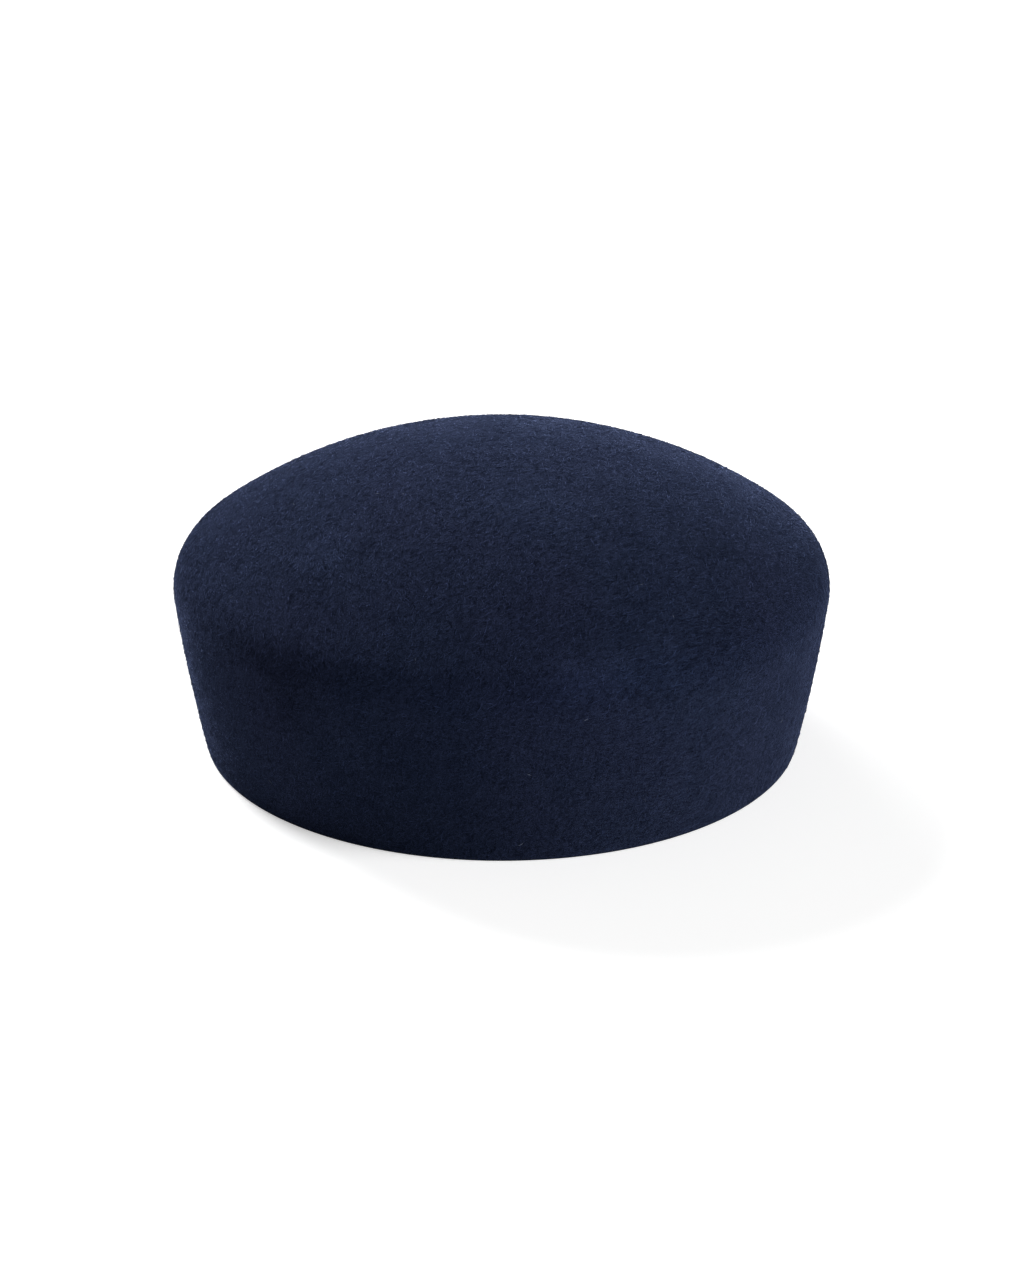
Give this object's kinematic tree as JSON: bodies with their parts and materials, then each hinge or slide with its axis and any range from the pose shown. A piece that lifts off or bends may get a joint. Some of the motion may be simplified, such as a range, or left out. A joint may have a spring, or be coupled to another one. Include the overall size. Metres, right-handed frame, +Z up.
{
  "type": "pillbox hat",
  "caption": "Blocked felt pillbox hat: one seamless, hollow shell with a low domed top, a softly rounded edge and a plain wall that slopes in to a cut rim.",
  "frame": {"origin": "on the surface that the hat rests on, under the middle of the dome", "axes": "+Z up through the dome, -Y towards the wearer's front, +X towards the wearer's left; the oval is longest along Y"},
  "size_m": [0.1936, 0.2168, 0.0893],
  "materials": {
    "felt": "navy fur felt, brushed to a short velour nap"
  },
  "bodies": {
    "root": {"crown": "felt"}
  },
  "joints": []
}
